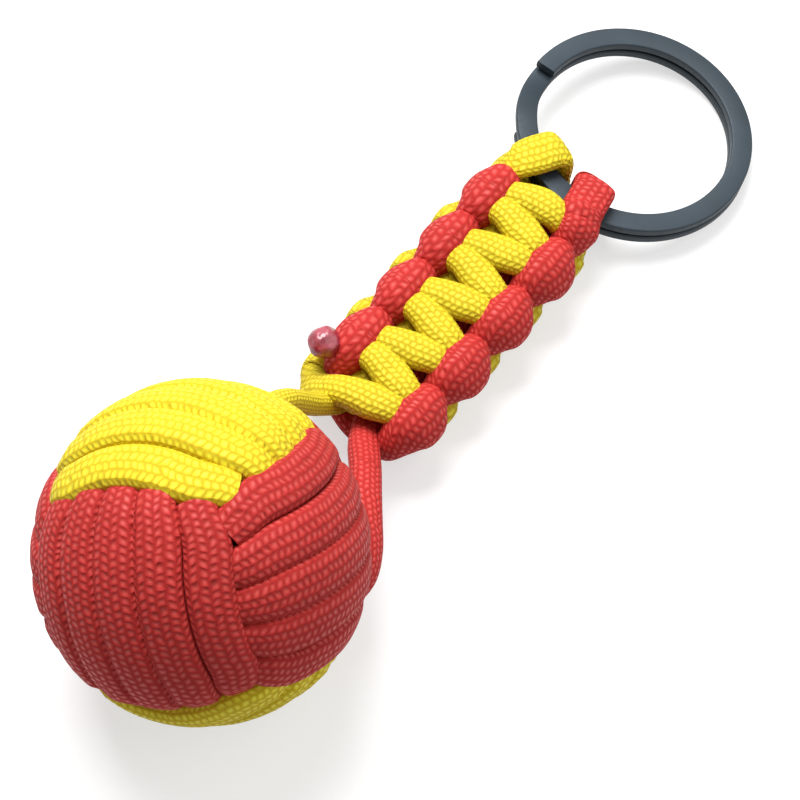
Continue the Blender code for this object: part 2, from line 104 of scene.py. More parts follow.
class CordSettings(bpy.types.PropertyGroup):
    red: bpy.props.FloatVectorProperty(
        name="Red",
        description="Colour of the red cord's threads",
        subtype="COLOR",
        size=3,
        min=0,
        max=1,
        default=(0.50, 0.026, 0.022),
    )
    # Painted shade between the red cord's threads
    red_crevice: bpy.props.FloatVectorProperty(
        name="Red crevice",
        description="Colour between the red cord's threads",
        subtype="COLOR",
        size=3,
        min=0,
        max=1,
        default=(0.39, 0.015, 0.012),
    )
    # Painted highlight on the tops of the red cord's threads
    red_crest: bpy.props.FloatVectorProperty(
        name="Red crest",
        description="Colour on top of the red cord's threads",
        subtype="COLOR",
        size=3,
        min=0,
        max=1,
        default=(0.62, 0.075, 0.062),
    )
    yellow: bpy.props.FloatVectorProperty(
        name="Yellow",
        description="Colour of the yellow cord's threads",
        subtype="COLOR",
        size=3,
        min=0,
        max=1,
        default=(0.66, 0.54, 0.015),
    )
    # Painted shade between the yellow cord's threads
    yellow_crevice: bpy.props.FloatVectorProperty(
        name="Yellow crevice",
        description="Colour between the yellow cord's threads",
        subtype="COLOR",
        size=3,
        min=0,
        max=1,
        default=(0.50, 0.345, 0.0055),
    )
    # Painted highlight on the tops of the yellow cord's threads
    yellow_crest: bpy.props.FloatVectorProperty(
        name="Yellow crest",
        description="Colour on top of the yellow cord's threads",
        subtype="COLOR",
        size=3,
        min=0,
        max=1,
        default=(0.75, 0.65, 0.030),
    )
    columns: bpy.props.IntProperty(
        name="Columns",
        description="Columns of thread bundles round a cord, an even number",
        default=18,
        min=4,
        max=32,
    )
    row: bpy.props.FloatProperty(
        name="Row",
        description="Length of one row of thread bundles",
        subtype="DISTANCE",
        unit="LENGTH",
        default=0.0009,
        min=0.0002,
    )
    slant: bpy.props.FloatProperty(
        name="Slant",
        description="Rows that a bundle climbs across its column",
        default=0.3,
        min=0,
        max=2,
    )
    relief: bpy.props.FloatProperty(
        name="Relief",
        description="Height of the thread bundles",
        subtype="DISTANCE",
        unit="LENGTH",
        default=0.00012,
        min=0,
    )
    stretch: bpy.props.FloatProperty(
        name="Stretch",
        description="Size of the bundles on the ball, against those of the handle",
        default=1.1,
        min=0.5,
    )
    sides: bpy.props.IntProperty(
        name="Sides",
        description="Sides of a cord's section",
        default=SIDES,
        min=8,
        max=64,
    )


class BallSettings(bpy.types.PropertyGroup):
    outer_radius: bpy.props.FloatProperty(
        name="Outer radius",
        description="From the ball's centre to the middle of a cord on its surface",
        subtype="DISTANCE",
        unit="LENGTH",
        default=0.01835,
    )
    inner_radius: bpy.props.FloatProperty(
        name="Inner radius",
        description="From the ball's centre to the middle of a covered cord",
        subtype="DISTANCE",
        unit="LENGTH",
        default=0.01445,
    )
    outer_thickness: bpy.props.FloatProperty(
        name="Outer thickness",
        description="Thickness of a cord on the surface",
        subtype="DISTANCE",
        unit="LENGTH",
        default=0.0037,
    )
    spread: bpy.props.FloatProperty(
        name="Spread",
        description="Width of a band per radius of its cord's middle",
        default=1.377,
    )
    inner_spread: bpy.props.FloatProperty(
        name="Inner spread",
        description="The same where the band is covered",
        default=1.02,
    )


class RingSettings(bpy.types.PropertyGroup):
    colour: bpy.props.FloatVectorProperty(
        name="Colour",
        description="Colour of the blackened steel",
        subtype="COLOR",
        size=3,
        min=0,
        max=1,
        default=(0.018, 0.028, 0.037),
    )
    climb_at: bpy.props.FloatProperty(
        name="Climb at",
        description="Place of the step between the two turns",
        subtype="ANGLE",
        unit="ROTATION",
        default=radians(112),
    )
    climb: bpy.props.FloatProperty(
        name="Climb",
        description="Arc over which the strip climbs a turn",
        subtype="ANGLE",
        unit="ROTATION",
        default=radians(34),
    )
    bevel: bpy.props.FloatProperty(
        name="Bevel",
        description="Worn bevel on the strip's edges",
        subtype="DISTANCE",
        unit="LENGTH",
        default=0.00025,
    )


# Paths


def smooth_step(x):
    x = np.clip(x, 0, 1)
    return x * x * (3 - 2 * x)


def unit(vectors):
    return vectors / np.linalg.norm(vectors, axis=-1, keepdims=True)


def spline(rows, steps):
    """Rows of numbers read from a smooth curve through the given ones."""
    rows = np.array(rows, float)
    padded = np.vstack([2 * rows[0] - rows[1], rows, 2 * rows[-1] - rows[-2]])
    found = []
    for a, b, c, d in zip(padded, padded[1:], padded[2:], padded[3:]):
        for t in np.arange(steps) / steps:
            bend = (2 * a - 5 * b + 4 * c - d) * t**2 + (3 * b - a - 3 * c + d) * t**3
            found.append((2 * b + (c - a) * t + bend) / 2)
    found.append(rows[-1])
    return np.array(found)


def section_frames(rows):
    """Half the width and half the thickness, as vectors, at each row of a cord."""
    along = unit(np.gradient(rows[:, :3], axis=0))
    outward = rows[:, 5:8]
    outward = unit(outward - (outward * along).sum(axis=1, keepdims=True) * along)
    side = np.cross(along, outward)
    return rows[:, 3:4] / 2 * side, rows[:, 4:5] / 2 * outward


def path_length(points):
    """The way along the points, from the first one to each."""
    steps = np.linalg.norm(np.diff(points, axis=0), axis=1)
    return np.concatenate([[0], np.cumsum(steps)])


# Nodes


def connect(tree, value, socket):
    if isinstance(value, bpy.types.NodeSocket):
        tree.links.new(value, socket)
    else:
        socket.default_value = value


def set_inputs(tree, node, inputs):
    for key, value in inputs.items():
        connect(tree, value, node.inputs[key])


def add_node(tree, kind, inputs=None, **settings):
    node = tree.nodes.new(kind)
    for key, value in settings.items():
        setattr(node, key, value)
    set_inputs(tree, node, inputs or {})
    return node


def node_math(tree, operation, *values):
    inputs = dict(enumerate(values))
    return add_node(tree, "ShaderNodeMath", inputs, operation=operation).outputs[0]


def vector_math(tree, operation, inputs):
    return add_node(tree, "ShaderNodeVectorMath", inputs, operation=operation).outputs[0]


def named_value(tree, name, data_type="FLOAT"):
    kind = "GeometryNodeInputNamedAttribute"
    return add_node(tree, kind, {"Name": name}, data_type=data_type).outputs["Attribute"]


def store_value(tree, geometry, name, value, data_type="FLOAT"):
    kind = "GeometryNodeStoreNamedAttribute"
    inputs = {"Geometry": geometry, "Name": name, "Value": value}
    return add_node(tree, kind, inputs, data_type=data_type, domain="POINT").outputs[0]


# Swept cord

SWEEP_NAME = "Swept cord"
WORKING_VALUES = ("across", "rise", "along", "centre", "round")
CORD_SHARP_ANGLE = radians(65)


def sweep_tree():
    """A cord's skin, swept along a line whose points hold half a section's width and thickness."""
    tree = bpy.data.node_groups.new(SWEEP_NAME, "GeometryNodeTree")
    inputs = (
        ("Line", "NodeSocketGeometry", None),
        ("Sides", "NodeSocketInt", SIDES),
        ("Fullness", "NodeSocketFloat", FULLNESS),
        ("Material", "NodeSocketMaterial", None),
    )
    for name, kind, value in inputs:
        socket = tree.interface.new_socket(name, in_out="INPUT", socket_type=kind)
        if value is not None:
            socket.default_value = value
    tree.interface.new_socket("Cord", in_out="OUTPUT", socket_type="NodeSocketGeometry")
    given = tree.nodes.new("NodeGroupInput").outputs

    line = add_node(tree, "GeometryNodeMeshToCurve", {"Mesh": given["Line"]}).outputs["Curve"]
    place = add_node(tree, "GeometryNodeInputPosition").outputs[0]
    line = store_value(tree, line, "centre", place, "FLOAT_VECTOR")
    size = {"Resolution": given["Sides"], "Radius": CORD / 2}
    circle = add_node(tree, "GeometryNodeCurvePrimitiveCircle", size, mode="RADIUS")
    index = add_node(tree, "GeometryNodeInputIndex").outputs[0]
    turned = node_math(tree, "MULTIPLY", node_math(tree, "DIVIDE", index, given["Sides"]), 2 * pi)
    circle = store_value(tree, circle.outputs["Curve"], "round", turned)
    sweep = {"Curve": line, "Profile Curve": circle, "Fill Caps": True}
    skin = add_node(tree, "GeometryNodeCurveToMesh", sweep).outputs[0]

    angle = named_value(tree, "round")
    shares = []
    for way in ("COSINE", "SINE"):
        share = node_math(tree, way, angle)
        full = node_math(tree, "POWER", node_math(tree, "ABSOLUTE", share), given["Fullness"])
        shares.append(node_math(tree, "MULTIPLY", node_math(tree, "SIGN", share), full))
    place = named_value(tree, "centre", "FLOAT_VECTOR")
    for name, share in zip(("across", "rise"), shares):
        half = named_value(tree, name, "FLOAT_VECTOR")
        part = vector_math(tree, "SCALE", {0: half, "Scale": share})
        place = vector_math(tree, "ADD", {0: place, 1: part})
    moved = add_node(tree, "GeometryNodeSetPosition", {"Geometry": skin, "Position": place})
    braid = {0: named_value(tree, "along"), 1: shares[0], 2: shares[1]}
    braid = add_node(tree, "ShaderNodeCombineXYZ", braid).outputs[0]
    skin = store_value(tree, moved.outputs[0], "braid", braid, "FLOAT_VECTOR")

    real = add_node(tree, "GeometryNodeRealizeInstances", {"Geometry": skin}).outputs[0]
    paint = {"Geometry": real, "Material": given["Material"]}
    painted = add_node(tree, "GeometryNodeSetMaterial", paint).outputs[0]
    tree.links.new(painted, tree.nodes.new("NodeGroupOutput").inputs[0])
    return tree


def add_object(name, data):
    obj = bpy.data.objects.new(name, data)
    bpy.context.scene.collection.objects.link(obj)
    return obj


def add_cord(name, rows, material, fullness=FULLNESS, start=0.0):
    """A finished cord along rows of place, width, thickness and outward way.

    start is the length of cord before its first row, so that two pieces of one cord
    carry the braid on.
    """
    across, rise = section_frames(rows)
    along = path_length(rows[:, :3] + rise) + start
    mesh = bpy.data.meshes.new(name)
    mesh.from_pydata(rows[:, :3].tolist(), [(i, i + 1) for i in range(len(rows) - 1)], [])
    for key, kind, field, values in (
        ("across", "FLOAT_VECTOR", "vector", across),
        ("rise", "FLOAT_VECTOR", "vector", rise),
        ("along", "FLOAT", "value", along),
    ):
        stored = mesh.attributes.new(key, kind, "POINT")
        stored.data.foreach_set(field, np.ascontiguousarray(values, np.float32).ravel())
    obj = add_object(name, mesh)

    tree = bpy.data.node_groups.get(SWEEP_NAME) or sweep_tree()
    modifier = obj.modifiers.new(SWEEP_NAME, "NODES")
    modifier.node_group = tree
    sides = bpy.context.scene.keychain_cord.sides
    values = {"Sides": sides, "Fullness": fullness, "Material": material}
    for item in tree.interface.items_tree:
        if item.name in values:
            modifier[item.identifier] = values[item.name]
    swept = obj.evaluated_get(bpy.context.evaluated_depsgraph_get())
    finished = bpy.data.meshes.new_from_object(swept)
    obj.modifiers.clear()
    obj.data = finished

    finished.name = name
    for key in WORKING_VALUES:
        if key in finished.attributes:
            finished.attributes.remove(finished.attributes[key])
    for vertex in finished.vertices:
        vertex.co.z = max(vertex.co.z, 0)  # pressed flat where it lies on the floor
    finished.shade_smooth()
    finished.set_sharp_from_angle(angle=CORD_SHARP_ANGLE)
    return obj


# Materials


def new_material(name):
    material = bpy.data.materials.new(name)
    material.use_nodes = True
    return material, material.node_tree, material.node_tree.nodes["Principled BSDF"]


def object_place(tree):
    return add_node(tree, "ShaderNodeTexCoord").outputs["Object"]


def noise_value(tree, place, scale, detail):
    inputs = {"Vector": place, "Scale": scale, "Detail": detail}
    return add_node(tree, "ShaderNodeTexNoise", inputs).outputs[0]


def bump_normal(tree, height, distance, strength):
    inputs = {"Height": height, "Distance": distance, "Strength": strength}
    return add_node(tree, "ShaderNodeBump", inputs).outputs[0]


def blend_colours(tree, share, low, high):
    node = add_node(tree, "ShaderNodeMix", {0: share}, data_type="RGBA")
    for key, colour in ((6, low), (7, high)):
        is_link = isinstance(colour, bpy.types.NodeSocket)
        connect(tree, colour if is_link else (*colour, 1), node.inputs[key])
    return node.outputs[2]


def map_range(tree, value, low, high, to_low, to_high):
    inputs = {0: value, 1: low, 2: high, 3: to_low, 4: to_high}
    return add_node(tree, "ShaderNodeMapRange", inputs, clamp=True).outputs[0]


def scaled(colour, factor):
    return tuple(factor * part for part in colour)


# Scales are noise features per metre. A bundle's height runs from 0 to 1.
MOST_NOISE = (0.3, 0.7)  # between which most of a noise's values lie
MIDDLE_NOISE = (0.35, 0.65)

WANDER_SCALE = 700.0
WANDER_ACROSS = 0.5  # columns that the noise moves a bundle by
WANDER_ALONG = 0.8  # rows
BUNDLE_POWER = 1.1
FIBRE_SCALE = 4200.0
FIBRE_HEIGHT = 0.22
PAINTED_SHADE_HEIGHT = 0.45  # up to which the painted shade between the thread bundles shows
PAINTED_HIGHLIGHT_HEIGHT = 0.5  # from which the painted highlight on the tops of the thread bundles comes in
# most that the painted highlight covers of the thread colour
PAINTED_HIGHLIGHT_SHARE = 0.8
FADE_SCALE = 160.0
FADE_RANGE = (0.35, 0.7)
FADED = 0.86
THREAD_ROUGHNESS = (0.85, 0.48)  # in the crevices and on the crests
THREAD_SPECULAR = 0.3
BALL_PAINTED_SHADING = {"red": 0.87, "yellow": 1.12}  # painted shade on the ball's red and painted light on its yellow, against the handle's cords

MELT_SCALE = 700.0
MELT_RELIEF = 0.0003
MELT_STRENGTH = 0.5
MELT_ROUGHNESS = (0.22, 0.4)
MELT_DEPTH = (0.001, 0.0003, 0.0003)  # that red, green and blue light go into the bead
MELT_CLOUDY = 0.25
MELT_COAT = 0.4

GRAIN_SCALE = 1800.0
GRAIN_RELIEF = 0.00002
GRAIN_STRENGTH = 0.4
SMUDGE_SCALE = 130.0
SMUDGED = 1.25
STEEL_ROUGHNESS = (0.44, 0.56)
STEEL_METALLIC = 0.2  # mostly covered by its black finish
STEEL_SPECULAR = 0.35

WOOD_RINGS = 120.0
WOOD_DARK = (0.36, 0.20, 0.09)
WOOD_PALE = (0.52, 0.33, 0.17)
WOOD_WARP = 3.0
WOOD_ROUGHNESS = 0.6


def bundle_height(tree, columns, row, slant, place, wander):
    """Height of slanting thread bundles, in columns that are set half a row apart like bricks."""
    parts = add_node(tree, "ShaderNodeSeparateXYZ", {0: place}).outputs
    angle = node_math(tree, "ARCTAN2", parts[2], parts[1])
    wobble = node_math(tree, "SUBTRACT", wander, 0.5)
    column = node_math(tree, "MULTIPLY", angle, columns / (2 * pi))
    column = node_math(tree, "MULTIPLY_ADD", wobble, WANDER_ACROSS, column)
    across = node_math(tree, "MULTIPLY_ADD", node_math(tree, "FRACT", column), 2.0, -1.0)
    odd = node_math(tree, "PINGPONG", node_math(tree, "FLOOR", column), 1.0)
    lean = node_math(tree, "MULTIPLY", across, node_math(tree, "MULTIPLY_ADD", odd, 2.0, -1.0))
    rows = node_math(tree, "MULTIPLY_ADD", parts[0], 1 / row, node_math(tree, "MULTIPLY", odd, 0.5))
    rows = node_math(tree, "MULTIPLY_ADD", lean, slant / 2, rows)
    rows = node_math(tree, "MULTIPLY_ADD", wobble, WANDER_ALONG, rows)
    along = node_math(tree, "MULTIPLY_ADD", node_math(tree, "FRACT", rows), 2.0, -1.0)
    round_across, round_along = (
        node_math(tree, "COSINE", node_math(tree, "MULTIPLY", way, pi / 2))
        for way in (across, along)
    )
    height = node_math(tree, "MULTIPLY", round_across, round_along)
    return node_math(tree, "POWER", height, BUNDLE_POWER)


def braid_material(name, colour, stretch, shade):
    """Braided nylon, with a painted highlight on the tops of its thread bundles and painted shade
    between them.
    """
    settings = bpy.context.scene.keychain_cord
    # thread colour, painted shade between the bundles and painted highlight on their tops; shade
    # scales all three for the ball's painted shading
    thread, painted_shade, painted_highlight = (
        scaled(getattr(settings, colour + key), shade) for key in ("", "_crevice", "_crest")
    )
    columns = 2 * round(settings.columns / stretch / 2)
    material, tree, shader = new_material(name)
    spot = object_place(tree)
    place = add_node(tree, "ShaderNodeAttribute", attribute_name="braid").outputs["Vector"]
    wander = noise_value(tree, spot, WANDER_SCALE, detail=1.0)
    height = bundle_height(tree, columns, settings.row * stretch, settings.slant, place, wander)
    fibres = noise_value(tree, spot, FIBRE_SCALE, detail=2.0)
    fine = node_math(tree, "MULTIPLY_ADD", fibres, FIBRE_HEIGHT, height)
    cloud = noise_value(tree, spot, FADE_SCALE, detail=2.0)
    faded = map_range(tree, cloud, *FADE_RANGE, 0.0, 1.0)
    lively = blend_colours(tree, faded, scaled(thread, FADED), thread)
    # painted highlight on the tops of the bundles
    painted_highlight_share = map_range(tree, height, PAINTED_HIGHLIGHT_HEIGHT, 1.0, 0.0, PAINTED_HIGHLIGHT_SHARE)
    lively = blend_colours(tree, painted_highlight_share, lively, painted_highlight)
    # painted shade between the bundles, where the height is low
    risen = map_range(tree, height, 0.0, PAINTED_SHADE_HEIGHT, 0.0, 1.0)
    looks = {
        "Base Color": blend_colours(tree, risen, painted_shade, lively),
        "Roughness": map_range(tree, height, 0.0, 1.0, *THREAD_ROUGHNESS),
        "Specular IOR Level": THREAD_SPECULAR,
        "Normal": bump_normal(tree, fine, settings.relief, strength=1.0),
    }
    set_inputs(tree, shader, looks)
    return material


def cord_material(colour, on_ball=False):
    """A cord's braid, which is stretched on the ball and has painted shading there: darker red and
    lighter yellow.
    """
    name = f"{colour}_braid_stretched" if on_ball else f"{colour}_braid"
    stretch = bpy.context.scene.keychain_cord.stretch if on_ball else 1.0
    # on the ball, painted shade darkens the red and painted light brightens the yellow
    shade = BALL_PAINTED_SHADING[colour] if on_ball else 1.0
    made = bpy.data.materials.get(name)
    return made or braid_material(name, colour, stretch, shade)


def melted_material(name, colour, deep):
    """Nylon melted to a glassy, cloudy bead."""
    material, tree, shader = new_material(name)
    cloud = noise_value(tree, object_place(tree), MELT_SCALE, detail=3.0)
    share = map_range(tree, cloud, *MIDDLE_NOISE, 0.0, 1.0)
    looks = {
        "Base Color": blend_colours(tree, share, deep, colour),
        "Roughness": map_range(tree, cloud, *MOST_NOISE, *MELT_ROUGHNESS),
        "Normal": bump_normal(tree, cloud, MELT_RELIEF, MELT_STRENGTH),
        "Subsurface Weight": MELT_CLOUDY,
        "Subsurface Radius": MELT_DEPTH,
        "Coat Weight": MELT_COAT,
    }
    set_inputs(tree, shader, looks)
    return material


def steel_material():
    """Blackened steel with a satin grain and paler smudges."""
    colour = tuple(bpy.context.scene.keychain_ring.colour)
    material, tree, shader = new_material("blackened_steel")
    place = object_place(tree)
    grain = noise_value(tree, place, GRAIN_SCALE, detail=3.0)
    smudge = noise_value(tree, place, SMUDGE_SCALE, detail=2.0)
    share = map_range(tree, smudge, *MIDDLE_NOISE, 0.0, 1.0)
    looks = {
        "Base Color": blend_colours(tree, share, colour, scaled(colour, SMUDGED)),
        "Roughness": map_range(tree, grain, *MOST_NOISE, *STEEL_ROUGHNESS),
        "Normal": bump_normal(tree, grain, GRAIN_RELIEF, GRAIN_STRENGTH),
        "Metallic": STEEL_METALLIC,
        "Specular IOR Level": STEEL_SPECULAR,
    }
    set_inputs(tree, shader, looks)
    return material


def wood_material():
    """Plain turned wood of the hidden core."""
    material, tree, shader = new_material("core_wood")
    place = object_place(tree)
    inputs = {"Vector": place, "Scale": WOOD_RINGS, "Distortion": WOOD_WARP, "Detail": 2.0}
    rings = add_node(tree, "ShaderNodeTexWave", inputs).outputs[1]
    colour = blend_colours(tree, rings, WOOD_DARK, WOOD_PALE)
    set_inputs(tree, shader, {"Base Color": colour, "Roughness": WOOD_ROUGHNESS})
    return material


# Ball. A turn is outside at a panel's middle and inside a quarter turn on, and the
# angles are degrees.

BALL_STEPS = 72  # points on one turn
SHIFT_HALF = 30  # from where it is covered, a turn moves over to the next one's place
SINK = (39, 62)  # from a panel's middle, where a turn goes under the next band
SINK_LEAN = 3  # later at one end of a panel and earlier at the other
FRONT_LEAN = 5  # the same for the front band
FRONT_EARLY = 1.3  # which also sinks earlier at both ends
DRAW = (25, 67)  # from a panel's middle, where the turns draw together
TUCK = 45  # left out at each end of a band's cord
INNER_THICKNESS = 0.0027
PRESSED_WIDTH = 1.15  # a turn's width per distance to the next
SWELL = 0.055  # the ball is fuller on one side
SWELL_WAY = (0.70, 0.55, 0.45)


def band_rows(outside, inside, across, lean=SINK_LEAN, early=0):
    """One band's cord. Its turns pass outside at the first axis and inside at the second."""
    settings = bpy.context.scene.keychain_ball
    angle = 90 + np.arange(TURNS * BALL_STEPS + 1) * 360 / BALL_STEPS
    angle = angle[(angle >= 90 + TUCK) & (angle <= 90 + 360 * TURNS - TUCK)]
    turn = np.round((angle - 90) / 360)
    shift = (angle - 90 - 360 * turn) / SHIFT_HALF
    strand = turn - TURNS / 2 + smooth_step((shift + 1) / 2) - 0.5
    from_panel = np.abs((angle + 90) % 180 - 90)
    sink = from_panel + early - lean * np.sin(np.radians(angle))
    high = 1 - smooth_step((sink - SINK[0]) / (SINK[1] - SINK[0]))
    wide = 1 - smooth_step((from_panel - DRAW[0]) / (DRAW[1] - DRAW[0]))
    narrow_pitch = settings.inner_spread * settings.inner_radius / TURNS
    wide_pitch = settings.spread * settings.outer_radius / TURNS
    pitch = narrow_pitch + (wide_pitch - narrow_pitch) * wide
    offset = strand * pitch
    radius = settings.inner_radius + (settings.outer_radius - settings.inner_radius) * high
    reach = np.sqrt(radius**2 - offset**2)
    points = np.outer(reach * np.cos(np.radians(angle)), outside)
    points += np.outer(reach * np.sin(np.radians(angle)), inside)
    points += np.outer(offset, across)
    thickness = INNER_THICKNESS + (settings.outer_thickness - INNER_THICKNESS) * high
    return np.column_stack([points, PRESSED_WIDTH * pitch, thickness, points])


def swollen(rows):
    """A band's rows, turned with the ball, swollen on its full side and put in place."""
    rows[:, 5:8] = rows[:, 5:8] @ np.array(Euler(BALL_TURN).to_matrix()).T
    facing = np.clip(unit(rows[:, 5:8]) @ unit(np.array(SWELL_WAY)), 0, 1)
    full = 1 + SWELL * facing**2
    rows[:, :3] = rows[:, 5:8] * full[:, None] + np.array(BALL_CENTRE)
    return rows


class KEYCHAIN_OT_wind_ball(bpy.types.Operator):
    """Wind the three crossing bands of the ball"""

    bl_idname = "keychain.wind_ball"
    bl_label = "Wind Ball"

    def execute(self, context):
        x_axis, y_axis, z_axis = np.eye(3)
        routes = {
            "red_winding_front": band_rows(x_axis, z_axis, y_axis, FRONT_LEAN, FRONT_EARLY),
            "yellow_winding": band_rows(z_axis, y_axis, x_axis),
            "red_winding_side": band_rows(y_axis, x_axis, z_axis),
        }
        for node, rows in routes.items():
            colour = node.split("_")[0]
            material = cord_material(colour, on_ball=True)
            band = add_cord(f"{node}_band", swollen(rows), material, fullness=BALL_FULLNESS)
            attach(band, "fist")
            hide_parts(node)
        core = FRAME["nodes"]["core_ball"]
        core.data.materials.clear()
        core.data.materials.append(wood_material())
        return {"FINISHED"}


# Handle. Places are from the weave's start at the ring, the axis and the middle plane,
# and sizes are a section's width and thickness.

BAR_HEIGHT = 1.0 * CORD
BAR_SIZE = (1.2 * CORD, 0.86 * CORD)
SHOULDER_AT = 0.2 * PITCH
SHOULDER_SIDE = 0.85 * CORD
SHOULDER_HEIGHT = 0.9125 * CORD
SHOULDER_SIZE = (1.04 * CORD, 0.86 * CORD)
CROSSING_AT = 0.3 * PITCH
CROSSING_SIDE = 1.42 * CORD
CROSSING_SIZE = (1.25 * CORD, 1.1 * CORD)
FIRST_CROSSING_AT = 0.02 * PITCH  # leaves room for the ring's swing
FIRST_CROSSING_SIZE = (0.95 * CORD, 1.1 * CORD)
FIRST_SHOULDER_SIDE = 0.72 * CORD
FIRST_SHOULDER_HEIGHT = 0.87 * CORD
FIRST_SHOULDER_SIZE = (0.98 * CORD, 0.8 * CORD)
BUMP_REACH = 0.4 * PITCH
BUMP_SIDE = 1.62 * CORD
BUMP_HEIGHT = 0.58 * CORD
BUMP_SIZE = (1.86 * CORD, 1.5 * CORD)
BUMP_END_SIDE = 1.58 * CORD
BUMP_END_HEIGHT = 0.54 * CORD
BUMP_END_SIZE = (1.68 * CORD, 1.38 * CORD)
START_AT = 0.66 * PITCH
START = (1.34 * CORD, -0.68 * CORD, 1.5 * CORD, 1.0 * CORD)  # side, height and size
START_END = (1.46 * CORD, -0.6 * CORD, 1.5 * CORD, 1.1 * CORD)
END_AT = 0.26 * PITCH
END_SIDE = 1.72 * CORD
END_HEIGHT = 0.3 * CORD
END_SIZE = (0.62 * CORD, 0.66 * CORD)
WEAVE_SHIFT = -0.0002  # the weave lies a little to one side of the core strands
WEAVE_SKEW = 0.3  # sideways, per height over the middle plane
STRAND_SIZE = (1.04 * CORD, 0.95 * CORD)
STRAND_POINTS = 24
STRAND_SHORT = 0.0012  # hidden in the leg's start


def weave_rows(face):
    """A working cord's rows from the ring to the ball."""
    rows = [(START_AT, *START)]
    shoulder = (SHOULDER_HEIGHT, *SHOULDER_SIZE)
    for knot in range(HALF_KNOTS + 1):
        side = (-1) ** knot
        middle = knot * PITCH
        if knot > 0:
            rows.append((middle + CROSSING_AT, -side * CROSSING_SIDE, 0, *CROSSING_SIZE))
            rows.append((middle + SHOULDER_AT, -side * SHOULDER_SIDE, *shoulder))
            rows.append((middle, 0, BAR_HEIGHT, *BAR_SIZE))
        if knot == 1:
            first = middle - FIRST_CROSSING_AT
            first_shoulder = (FIRST_SHOULDER_HEIGHT, *FIRST_SHOULDER_SIZE)
            rows.append((first, side * FIRST_SHOULDER_SIDE, *first_shoulder))
            rows.append((first, side * CROSSING_SIDE, 0, *FIRST_CROSSING_SIZE))
        elif knot > 1:
            rows.append((middle - SHOULDER_AT, side * SHOULDER_SIDE, *shoulder))
            rows.append((middle - CROSSING_AT, side * CROSSING_SIDE, 0, *CROSSING_SIZE))
        bump = (knot + 0.5) * PITCH
        bump_end = (side * BUMP_END_SIDE, -BUMP_END_HEIGHT, *BUMP_END_SIZE)
        if 0 < knot < HALF_KNOTS:
            rows.append((bump - BUMP_REACH, *bump_end))
            rows.append((bump, side * BUMP_SIDE, -BUMP_HEIGHT, *BUMP_SIZE))
        if knot < HALF_KNOTS:
            rows.append((bump + BUMP_REACH, *(bump_end if knot else START_END)))
    side = (-1) ** HALF_KNOTS
    rows.append((HALF_KNOTS * PITCH - END_AT, side * END_SIDE, -END_HEIGHT, *END_SIZE))
    rows = spline(rows, CORD_STEPS) * (-1, face, face, 1, 1)
    level = np.zeros(len(rows))
    outward = (level, rows[:, 1] / CROSSING_SIDE**2, rows[:, 2] / BAR_HEIGHT**2)
    rows = np.column_stack([rows, np.transpose(outward) * CORD])
    rows[:, 1] -= WEAVE_SKEW * rows[:, 2]
    rows[:, :3] += (WEAVE_START, HANDLE_SIDE + WEAVE_SHIFT, HANDLE_HEIGHT)
    return rows


def handle_row(x, y, z, size, outward):
    return (WEAVE_START + x, HANDLE_SIDE + y, HANDLE_HEIGHT + z, *size, *outward)


def strand_rows(node, side):
    """A straight core strand's rows, over the length of its node."""
    low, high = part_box(node)
    places = np.linspace(low.x + STRAND_SHORT, high.x, STRAND_POINTS) - WEAVE_START
    return np.array([handle_row(x, side, 0, STRAND_SIZE, (0, 0, 1)) for x in places])


class KEYCHAIN_OT_weave_handle(bpy.types.Operator):
    """Weave the handle's two working cords over its two core strands"""

    bl_idname = "keychain.weave_handle"
    bl_label = "Weave Handle"

    def execute(self, context):
        for colour, face in FACES.items():
            working = add_cord(f"{colour}_half_knots", weave_rows(face), cord_material(colour))
            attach(working, "handle")
            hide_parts(f"{colour}_working_cord")
            rows = strand_rows(f"{colour}_core_strand", face * CORE_SIDE)
            strand = add_cord(f"{colour}_strand_inside", rows, cord_material(colour))
            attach(strand, "handle")
            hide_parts(f"{colour}_core_strand")
        return {"FINISHED"}


# Melted ends

BEAD_SHIFT = (0.0016, 0.0004, 0.0011)
BEAD_SIZE = 1.2  # per width of its node
BEAD_HEIGHT = 0.94  # per width
BEAD_SWELL = (1.7, 0.10)  # scale and height of the noise that makes it uneven
BEAD_DENTS = (6.0, 0.025)
DENTS_SEED = (0.0, 7.2, 1.3)
BEAD_LOOKS = {  # pale and deep colour, and the seed of the shape
    "red": ((0.36, 0.045, 0.07), (0.20, 0.012, 0.026), (3.1, 0.4, 2.0)),
    "yellow": ((0.80, 0.56, 0.03), (0.45, 0.26, 0.01), (3.1, 0.4, 5.0)),
}


def finished_mesh(shape, name):
    mesh = bpy.data.meshes.new(name)
    shape.to_mesh(mesh)
    shape.free()
    return mesh


def bead_shape(radius, seed):
    """An uneven round bead."""
    shape = bmesh.new()
    bmesh.ops.create_icosphere(shape, subdivisions=5, radius=1)
    for vertex in shape.verts:
        way = vertex.co.normalized()
        swell = noise.noise(way * BEAD_SWELL[0] + Vector(seed))
        dent = noise.noise(way * BEAD_DENTS[0] + Vector(DENTS_SEED))
        vertex.co = way * radius * (1 + BEAD_SWELL[1] * swell + BEAD_DENTS[1] * dent)
        vertex.co.z *= BEAD_HEIGHT
    return shape


